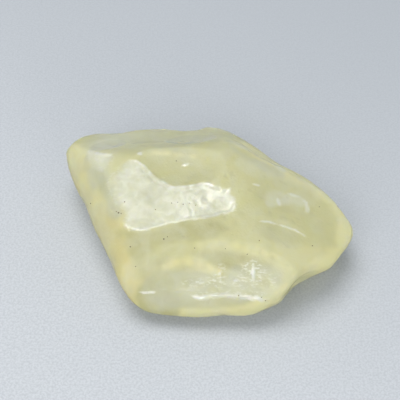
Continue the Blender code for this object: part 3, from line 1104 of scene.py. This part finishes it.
class Graph:
    """Lays out and joins the nodes of one material or node group."""

    columns: int = 8
    spacing: tuple[int, int] = (220, -320)

    def __init__(self, tree: bpy.types.NodeTree) -> None:
        """Starts on a tree with its nodes cleared."""
        self.tree = tree
        tree.nodes.clear()

    def feed(self, value: Feed, socket: Socket) -> None:
        """Joins a socket to an input socket, or sets the input to a constant.

        Args:
            value: The socket or the constant.
            socket: The input socket.
        """
        if isinstance(value, Socket):
            self.tree.links.new(value, socket)
        else:
            socket.default_value = value

    def add(self, kind: str, label: str, **inputs: Feed) -> bpy.types.Node:
        """Adds a node.

        Args:
            kind: The node's type.
            label: What it is for.
            inputs: What its input sockets are fed with, by name, with _ for spaces.

        Returns:
            The node.
        """
        node = self.tree.nodes.new(kind)
        node.label = label
        row, column = divmod(len(self.tree.nodes), self.columns)
        node.location = (column * self.spacing[0], row * self.spacing[1])
        for name, value in inputs.items():
            self.feed(value, node.inputs[name.replace("_", " ")])
        return node

    def maths(self, label: str, first: Feed, second: Feed, operation: str = "ADD") -> Socket:
        """Adds a maths node.

        Args:
            label: What it is for.
            first: A socket or a number.
            second: A socket or a number.
            operation: The maths to do.

        Returns:
            Its output.
        """
        node = self.add("ShaderNodeMath", label)
        node.operation = operation
        self.feed(first, node.inputs[0])
        self.feed(second, node.inputs[1])
        return node.outputs["Value"]

    def ramp(self, label: str, value: Socket, span: Span, to: Span = (0.0, 1.0)) -> Socket:
        """Maps a value smoothly from one span to another, and stops at its ends.

        Args:
            label: What it is for.
            value: The socket read.
            span: The span it is read over.
            to: The span it is mapped to.

        Returns:
            The mapped value.
        """
        ends = {"From_Min": span[0], "From_Max": span[1], "To_Min": to[0], "To_Max": to[1]}
        node = self.add("ShaderNodeMapRange", label, Value=value, **ends)
        node.interpolation_type = "SMOOTHSTEP"
        return node.outputs["Result"]

    def blend(self, label: str, share: Socket, first: Feed, second: Feed) -> Socket:
        """Mixes two colours.

        Args:
            label: What it is for.
            share: How much of the second.
            first: A colour or a colour socket.
            second: A colour or a colour socket.

        Returns:
            The mixed colour.
        """
        node = self.add("ShaderNodeMix", label)
        node.data_type = "RGBA"
        self.feed(share, node.inputs[0])
        for socket, value in zip((node.inputs[6], node.inputs[7]), (first, second)):
            self.feed(value if isinstance(value, Socket) else (*value, 1.0), socket)
        return node.outputs[2]

    def attribute(self, name: str) -> Socket:
        """Reads a share kept on the mesh's vertices.

        Args:
            name: The share's name.

        Returns:
            The share.
        """
        node = self.add("ShaderNodeAttribute", name)
        node.attribute_name = name
        return node.outputs["Fac"]


class Effects:
    """The shader node groups that more than one material uses."""

    def __init__(self) -> None:
        """Builds each group once."""
        self.tooth = self._tooth()
        self.mottle = self._mottle()

    @staticmethod
    def _start(name: str, inputs: tuple[str, ...], output: str) -> tuple[Graph, dict[str, Socket], Socket]:
        """Starts a node group that reads a place and some numbers, and gives one number.

        Args:
            name: The group's name.
            inputs: The names of the numbers.
            output: The name of what it gives.

        Returns:
            Its graph, its inputs by name, and the socket that its result goes to.
        """
        tree = bpy.data.node_groups.new(name, "ShaderNodeTree")
        tree.interface.new_socket(name="Vector", in_out="INPUT", socket_type="NodeSocketVector")
        for label in inputs:
            tree.interface.new_socket(name=label, in_out="INPUT", socket_type="NodeSocketFloat")
        tree.interface.new_socket(name=output, in_out="OUTPUT", socket_type="NodeSocketFloat")
        graph = Graph(tree)
        given = graph.add("NodeGroupInput", "in").outputs
        made = graph.add("NodeGroupOutput", "out").inputs
        return graph, {label: given[label] for label in ("Vector", *inputs)}, made[output]

    def _tooth(self) -> bpy.types.NodeTree:
        """A fine matt tooth: sand-struck pits over close grain.

        Returns:
            The group, which gives a height.
        """
        graph, given, height = self._start("fine tooth", ("Grain", "Share"), "Height")
        where, grain = given["Vector"], given["Grain"]
        looks = {"Detail": 3.0, "Roughness": 0.6}
        close = graph.add("ShaderNodeTexNoise", "close grain", Vector=where, Scale=grain, **looks)
        pit_scale = graph.maths("pit scale", grain, 0.5, "MULTIPLY")
        pits = graph.add("ShaderNodeTexVoronoi", "sand pits", Vector=where, Scale=pit_scale)
        cups = graph.ramp("cup", pits.outputs["Distance"], (0.0, 0.45), (-0.5, 0.0))
        both = graph.maths("both", close.outputs["Fac"], cups)
        graph.feed(graph.maths("share", both, given["Share"], "MULTIPLY"), height)
        return graph.tree

    def _mottle(self) -> bpy.types.NodeTree:
        """Soft uneven clouds.

        Returns:
            The group, which gives a share from 0 to 1.
        """
        graph, given, mask = self._start("soft mottle", ("Scale", "Share"), "Mask")
        looks = {"Detail": 4.0, "Roughness": 0.55, "Distortion": 0.4}
        where, scale = given["Vector"], given["Scale"]
        clouds = graph.add("ShaderNodeTexNoise", "clouds", Vector=where, Scale=scale, **looks)
        even = graph.ramp("mask", clouds.outputs["Fac"], (0.36, 0.66))
        graph.feed(graph.maths("share", even, given["Share"], "MULTIPLY"), mask)
        return graph.tree


class Paint(Graph):
    """The graph of one material: one plain shader, and the shared effects to dress it with."""

    def __init__(self, name: str, effects: Effects, **inputs: Feed) -> None:
        """Starts the material.

        Args:
            name: The material's name.
            effects: The shared node groups.
            inputs: What the shader's sockets are fed with, by name, with _ for spaces.
        """
        self.material = bpy.data.materials.new(name)
        self.material.use_nodes = True
        super().__init__(self.material.node_tree)
        self.effects = effects
        self.shader = self.add("ShaderNodeBsdfPrincipled", name, **inputs)
        self.add("ShaderNodeOutputMaterial", "out", Surface=self.shader.outputs["BSDF"])
        self.where = self.add("ShaderNodeTexCoord", "where").outputs["Object"]

    def effect(self, tree: bpy.types.NodeTree, size: float, share: Feed) -> Socket:
        """Puts one of the shared node groups in.

        Args:
            tree: The group.
            size: How many of its grains or clouds go to a metre.
            share: How strong it is, a socket or a number.

        Returns:
            What the group gives.
        """
        node = self.add("ShaderNodeGroup", tree.name)
        node.node_tree = tree
        for socket, value in zip(node.inputs, (self.where, size, share)):
            self.feed(value, socket)
        return node.outputs[0]

    def mottle(self, size: float, share: Feed) -> Socket:
        """Soft clouds of a size and a share."""
        return self.effect(self.effects.mottle, size, share)

    def tooth(self, size: float, share: Feed) -> Socket:
        """A matt tooth of a size and a share."""
        return self.effect(self.effects.tooth, size, share)

    def bump(self, height: Socket, strength: float) -> Socket:
        """Turns a height into a normal.

        Args:
            height: The height.
            strength: How strong the bump is.

        Returns:
            The normal.
        """
        inputs = {"Height": height, "Strength": strength, "Distance": 0.00003}
        return self.add("ShaderNodeBump", "bump", **inputs).outputs["Normal"]

    def dress(self, **inputs: Feed) -> bpy.types.Material:
        """Feeds the shader.

        Args:
            inputs: What its sockets are fed with, by name, with _ for spaces.

        Returns:
            The finished material.
        """
        for name, value in inputs.items():
            self.feed(value, self.shader.inputs[name.replace("_", " ")])
        return self.material


@dataclass(frozen=True)
class GlassFinish:
    """The pale yellow glass: clear inside, milky, and matt where the sand has struck it.

    Its clouds, flecks and tooth are given by how many of them go to a metre.
    """

    core: Colour = (0.682, 0.664, 0.366)
    # Painted light: the brighter yellow of thin rims, as if lit through the glass.
    glow: Colour = (0.890, 0.845, 0.480)
    warm: Colour = (0.740, 0.665, 0.325)
    deep: Colour = (0.550, 0.530, 0.262)
    # Partly the glass's own cloudy haze, partly painted sheen of the grey room.
    haze: Colour = (0.590, 0.600, 0.470)
    # Partly the milky clouds of the glass, partly painted sheen.
    milk: Colour = (0.800, 0.810, 0.680)
    # The white of fresh struck glass; on glints, lips and the bright scar it is also painted highlight.
    fresh: Colour = (0.930, 0.935, 0.825)
    dust: Colour = (0.540, 0.530, 0.370)
    matt: float = 0.46
    bright: float = 0.36
    coat_roughness: float = 0.14
    scattering: float = 0.8
    scattering_reach: Colour = (1.0, 0.85, 0.45)
    scattering_depth: float = 0.003
    clearness: float = 0.6
    bending: float = 1.46
    clouds: float = 380.0
    close_clouds: float = 900.0
    polish_clouds: float = 700.0
    flecks: float = 2100.0
    fleck_stretch: Place = (1.0, 2.2, 2.2)
    fine_tooth: float = 4200.0
    coarse_tooth: float = 1500.0

    def material(self, effects: Effects) -> bpy.types.Material:
        """Builds the material.

        Args:
            effects: The shared node groups.

        Returns:
            The material.
        """
        paint = Paint(
            "frosted_yellow_glass",
            effects,
            Metallic=0.0,
            IOR=self.bending,
            Transmission_Weight=self.clearness,
            Subsurface_Weight=self.scattering,
            Subsurface_Radius=self.scattering_reach,
            Subsurface_Scale=self.scattering_depth,
            Coat_Roughness=self.coat_roughness,
        )
        polish = paint.attribute("polish")
        even = paint.ramp("polish", polish, (0.0, 1.0), (self.matt, self.bright))
        return paint.dress(
            Coat_Weight=paint.ramp("wet look", polish, (0.2, 1.0)),
            Base_Color=self._colour(paint),
            Roughness=paint.maths("uneven", even, paint.mottle(self.polish_clouds, 0.12)),
            Normal=self._tooth(paint, polish),
        )

    def _colour(self, paint: Paint) -> Socket:
        """The colour of the skin, with painted glow, sheen, highlights and glints in it.

        Args:
            paint: The material's graph.

        Returns:
            The colour.
        """
        colour = self.core
        for tone in (Tone.GLOW, Tone.WARM, Tone.DEEP, Tone.HAZE):
            name = tone.value
            colour = paint.blend(name, paint.attribute(name), colour, getattr(self, name))
        colour = paint.blend("milky clouds", paint.mottle(self.clouds, 0.30), colour, self.milk)
        colour = paint.blend("milky zones", paint.attribute("milk"), colour, self.milk)
        uneven = paint.maths("uneven", paint.mottle(self.close_clouds, 0.5), 0.6)
        whitened = paint.maths("whitened", paint.attribute("frost"), uneven, "MULTIPLY")
        # The fresh white, partly painted highlight.
        colour = paint.blend("fresh skin", whitened, colour, self.fresh)
        # Painted glints, in the fresh white.
        colour = paint.blend("struck flecks", self._flecks(paint), colour, self.fresh)
        dusty = paint.maths("dusty", paint.attribute("hollow"), 0.22, "MULTIPLY")
        return paint.blend("dust in pits", dusty, colour, self.dust)

    def _flecks(self, paint: Paint) -> Socket:
        """Painted glints: fine bright flecks, drawn out along one way.

        Args:
            paint: The material's graph.

        Returns:
            Their mask.
        """
        drawn = paint.add("ShaderNodeMapping", "drawn out", Vector=paint.where, Scale=self.fleck_stretch)
        place = drawn.outputs["Vector"]
        noise = paint.add("ShaderNodeTexNoise", "flecks", Vector=place, Scale=self.flecks, Detail=2.0)
        streaks = paint.ramp("streaks", noise.outputs["Fac"], (0.5, 0.62))
        return paint.maths("struck flecks", streaks, paint.attribute("hackle"), "MULTIPLY")

    def _tooth(self, paint: Paint, polish: Socket) -> Socket:
        """The fine tooth of the skin, weaker where it is polished.

        Args:
            paint: The material's graph.
            polish: How polished the skin is.

        Returns:
            The normal.
        """
        share = paint.ramp("less where polished", polish, (0.0, 1.0), (1.0, 0.35))
        coarse = paint.maths("coarse", paint.tooth(self.coarse_tooth, share), 0.8, "MULTIPLY")
        return paint.bump(paint.maths("tooth", paint.tooth(self.fine_tooth, share), coarse), 0.7)


@dataclass(frozen=True)
class MineralFinish:
    """The dark brown skin of the mineral grains."""

    colour: Colour = (0.120, 0.090, 0.045)
    pale: Colour = (0.260, 0.210, 0.120)
    roughness: float = 0.55
    patches: float = 4000.0
    tooth: float = 9000.0

    def material(self, effects: Effects) -> bpy.types.Material:
        """Builds the material.

        Args:
            effects: The shared node groups.

        Returns:
            The material.
        """
        paint = Paint("dark_mineral", effects, Roughness=self.roughness)
        return paint.dress(
            Base_Color=paint.blend("patches", paint.mottle(self.patches, 1.0), self.colour, self.pale),
            Normal=paint.bump(paint.tooth(self.tooth, 1.0), 0.6),
        )


@dataclass(frozen=True)
class FloorFinish:
    """Pale cool paper with a fine grain, a little darker away from the light."""

    colour: Colour = (0.418, 0.436, 0.457)
    deep: Colour = (0.306, 0.321, 0.340)
    far: Colour = (0.302, 0.322, 0.345)
    roughness: float = 0.85
    grain: float = 4200.0
    darker_way: Place = (0.5, 0.87, 0.0)
    darkens: Span = (-0.03, 0.06)
    darkest: float = 0.75

    def material(self, effects: Effects) -> bpy.types.Material:
        """Builds the material.

        Args:
            effects: The shared node groups.

        Returns:
            The material.
        """
        paint = Paint("pale_paper", effects, Roughness=self.roughness)
        away = paint.add("ShaderNodeVectorMath", "away from the light")
        away.operation = "DOT_PRODUCT"
        paint.feed(paint.where, away.inputs[0])
        paint.feed(self.darker_way, away.inputs[1])
        falling = paint.ramp("falling light", away.outputs["Value"], self.darkens, (0.0, self.darkest))
        grainy = paint.blend("grain", paint.mottle(self.grain, 0.6), self.colour, self.deep)
        return paint.dress(Base_Color=paint.blend("shade", falling, grainy, self.far))


def object_from(form: bmesh.types.BMesh, name: str, material: bpy.types.Material) -> bpy.types.Object:
    """Turns a finished form into a smooth object of the scene, and frees the form.

    Args:
        form: The form.
        name: The object's name.
        material: What it is made of.

    Returns:
        The object.
    """
    mesh = bpy.data.meshes.new(name)
    form.to_mesh(mesh)
    form.free()
    mesh.shade_smooth()
    mesh.materials.append(material)
    made = bpy.data.objects.new(name, mesh)
    bpy.context.scene.collection.objects.link(made)
    return made


def aim_from(thing: bpy.types.Object, aim: Vector, bearing: float, tilt: float, away: float) -> None:
    """Puts a light or a camera into the scene, and turns it to a point.

    Args:
        thing: The light or the camera.
        aim: The point.
        bearing: The plan bearing from the point to the thing, in degrees.
        tilt: How high it stands above the horizon, in degrees.
        away: How far off the point it is.
    """
    way = Vector(unit(bearing, tilt))
    thing.location = aim + way * away
    thing.rotation_mode = "QUATERNION"
    thing.rotation_quaternion = way.to_track_quat("Z", "Y")
    bpy.context.scene.collection.objects.link(thing)


@dataclass
class Nugget:
    """The nugget of glass: one closed fine mesh."""

    finish: GlassFinish = field(default_factory=GlassFinish)
    shape: Shape = field(default_factory=Shape)
    quads: tuple[int, int, int] = (180, 140, 66)
    wrap_half: Place = (21.0, 16.0, 9.0)
    plate_share: float = 0.5
    halvings: int = 20
    scale: Array = field(default_factory=lambda: np.ones(3), init=False)
    shift: Array = field(default_factory=lambda: np.zeros(3), init=False)

    def build(self, effects: Effects) -> bpy.types.Object:
        """Builds and dresses the nugget.

        Args:
            effects: The shared node groups.

        Returns:
            The piece.
        """
        box = self._wrapping_box()
        skin = self._slide(np.array([vertex.co for vertex in box.verts]))
        relief = Relief(self.shape, skin, self.shape.outward(skin))
        relief.build()
        laid = relief.laid()
        self._fit(laid)
        for vertex, place in zip(box.verts, self.placed(laid)):
            vertex.co = place
        bmesh.ops.recalc_face_normals(box, faces=box.faces)
        piece = object_from(box, "glass_nugget", self.finish.material(effects))
        for name, share in vars(relief.coat).items():
            kept = piece.data.attributes.new(name, "FLOAT", "POINT")
            kept.data.foreach_set("value", np.clip(share, 0.0, 1.0))
        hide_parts(NODE)
        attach(piece, BODY)
        return piece

    def placed(self, points: Array) -> Array:
        """Moves pattern points to their place in the frame, in metres."""
        return points * self.scale + self.shift

    def _wrapping_box(self) -> bmesh.types.BMesh:
        """A cube from -1 to 1, cut into quads along each axis.

        Returns:
            The cube.
        """
        box = bmesh.new()
        bmesh.ops.create_cube(box, size=2.0)
        for axis, quads in enumerate(self.quads):
            along = [edge for edge in box.edges if abs(edge.verts[0].co[axis] - edge.verts[1].co[axis]) > 1.0]
            bmesh.ops.subdivide_edges(box, edges=along, cuts=quads - 1, use_grid_fill=True)
        return box

    def _slide(self, corners: Array) -> Array:
        """Slides the corners of the wrapping box along their lines onto the glass.

        Each line runs from a flat plate inside the glass to a ball stretched round it.

        Args:
            corners: Points on the skin of a cube from -1 to 1.

        Returns:
            Points on the nugget's skin.
        """
        square = corners**2
        first, second = np.roll(square, -1, axis=1), np.roll(square, -2, axis=1)
        ball = corners * np.sqrt(1.0 - first / 2.0 - second / 2.0 + first * second / 3.0)
        outer = ball * np.array(self.wrap_half)
        inner = outer * np.array((self.plate_share, self.plate_share, 0.0))
        middle = np.array((0.0, 0.0, HEART[2]))

        def at(share: Array) -> Array:
            """The place at a share of the way along each line."""
            return inner + (outer - inner) * share[:, None] + middle

        near, far = np.zeros(len(outer)), np.ones(len(outer))
        return at(bisect(near, far, self.halvings, lambda share: self.shape.distance(at(share)) > 0.0))

    def _fit(self, points: Array) -> None:
        """Finds the scale and shift that lay pattern points into the solid's box.

        Args:
            points: The points, one row each.
        """
        box_low, box_high = (np.array(corner) for corner in SOLID_BOX)
        low, high = points.min(axis=0), points.max(axis=0)
        self.scale = (box_high - box_low) / (high - low)
        self.shift = box_low - low * self.scale


@dataclass
class Grains:
    """The dark mineral grains, half sunk in the top of the nugget.

    They are flat, and a little narrower than long. Their radii in the table are in pattern
    millimetres, and are made a little smaller here.
    """

    nugget: Nugget
    finish: MineralFinish = field(default_factory=MineralFinish)
    seed: int = 5
    metres: float = 0.0008
    widths: Span = (0.6, 0.9)
    flatness: float = 0.5

    def build(self, effects: Effects) -> bpy.types.Object:
        """Builds and dresses the grains as one piece.

        Args:
            effects: The shared node groups.

        Returns:
            The piece.
        """
        chance = np.random.RandomState(self.seed)
        table = np.array(GRAINS)
        seats = self.nugget.placed(self.nugget.shape.settle(table[:, :2]))
        grains = bmesh.new()
        for seat, radius in zip(seats, table[:, 2]):
            size = radius * self.metres
            turn = Matrix.Rotation(chance.uniform(0.0, math.pi), 4, "Z")
            squash = Matrix.Diagonal((size, size * chance.uniform(*self.widths), size * self.flatness, 1.0))
            place = Matrix.Translation(Vector(seat)) @ turn @ squash
            bmesh.ops.create_icosphere(grains, subdivisions=2, radius=1.0, matrix=place)
        piece = object_from(grains, "mineral_grains", self.finish.material(effects))
        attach(piece, BODY)
        return piece


@dataclass(frozen=True)
class Lamp:
    """A square soft light: the way to it, how far off it is, its size, power and colour."""

    name: str
    bearing: float
    tilt: float
    away: float
    size: float
    power: float
    colour: Colour

    def build(self, aim: Vector) -> None:
        """Hangs the light and turns it to a point.

        Args:
            aim: The point.
        """
        light = bpy.data.lights.new(self.name, "AREA")
        light.shape = "SQUARE"
        light.size = self.size
        light.energy = self.power
        light.color = self.colour
        aim_from(bpy.data.objects.new(self.name, light), aim, self.bearing, self.tilt, self.away)


@dataclass
class Studio:
    """A pale paper floor under soft light, and the camera."""

    finish: FloorFinish = field(default_factory=FloorFinish)
    floor_half: float = 1.5
    floor_gap: float = 0.00002
    aim: Place = (-0.00068, 0.00249, 0.0035)
    bearing: float = 270.0
    tilt: float = 50.0
    away: float = 0.120
    lens: float = 90.0
    sensor: float = 36.0
    nearest: float = 0.001
    air: Colour = (0.74, 0.80, 0.88)
    air_power: float = 0.62
    lamps: tuple[Lamp, ...] = (
        Lamp("high_soft_light", 138, 75, 0.60, 0.40, 3.2, (1.0, 0.99, 0.97)),
        Lamp("front_fill", 248, 38, 0.22, 0.12, 0.22, (1.0, 0.99, 0.97)),
        Lamp("low_front_glow", 296, 12, 0.50, 0.20, 0.72, (1.0, 0.98, 0.94)),
        Lamp("low_left_glow", 238, 12, 0.50, 0.20, 0.32, (1.0, 0.98, 0.95)),
        Lamp("low_far_glow", 42, 8, 0.40, 0.16, 0.20, (0.98, 0.99, 1.0)),
    )

    def build(self, effects: Effects) -> None:
        """Builds the floor, the light and the camera.

        Args:
            effects: The shared node groups.
        """
        self._floor(effects)
        self._air()
        aim = Vector(self.aim)
        for lamp in self.lamps:
            lamp.build(aim)
        self._camera(aim)

    def _floor(self, effects: Effects) -> None:
        """Lays the floor just under the nugget.

        Args:
            effects: The shared node groups.
        """
        plane = bmesh.new()
        bmesh.ops.create_grid(plane, x_segments=1, y_segments=1, size=self.floor_half)
        floor = object_from(plane, "floor", self.finish.material(effects))
        floor.location = (0.0, 0.0, -self.floor_gap)

    def _air(self) -> None:
        """Lights the room with an even cool glow, shown in plain colours."""
        world = bpy.data.worlds.new("studio_air")
        world.use_nodes = True
        sky = world.node_tree.nodes["Background"]
        sky.inputs["Color"].default_value = (*self.air, 1.0)
        sky.inputs["Strength"].default_value = self.air_power
        bpy.context.scene.world = world
        bpy.context.scene.view_settings.view_transform = "Standard"

    def _camera(self, aim: Vector) -> None:
        """Sets the camera above the front, looking down at the nugget.

        Args:
            aim: The point it looks at.
        """
        data = bpy.data.cameras.new("camera")
        data.lens = self.lens
        data.sensor_width = self.sensor
        data.clip_start = self.nearest
        camera = bpy.data.objects.new("camera", data)
        aim_from(camera, aim, self.bearing, self.tilt, self.away)
        bpy.context.scene.camera = camera


def main() -> None:
    """Builds the nugget, its grains and the studio, in that order."""
    logging.basicConfig(level=logging.INFO, format="%(name)s: %(message)s")
    effects = Effects()
    nugget = Nugget()
    glass = nugget.build(effects)
    LOG.info("%s has %d faces", glass.name, len(glass.data.polygons))
    grains = Grains(nugget).build(effects)
    LOG.info("%s has %d faces", grains.name, len(grains.data.polygons))
    Studio().build(effects)
    LOG.info("the studio is lit")


if __name__ == "__main__":
    main()
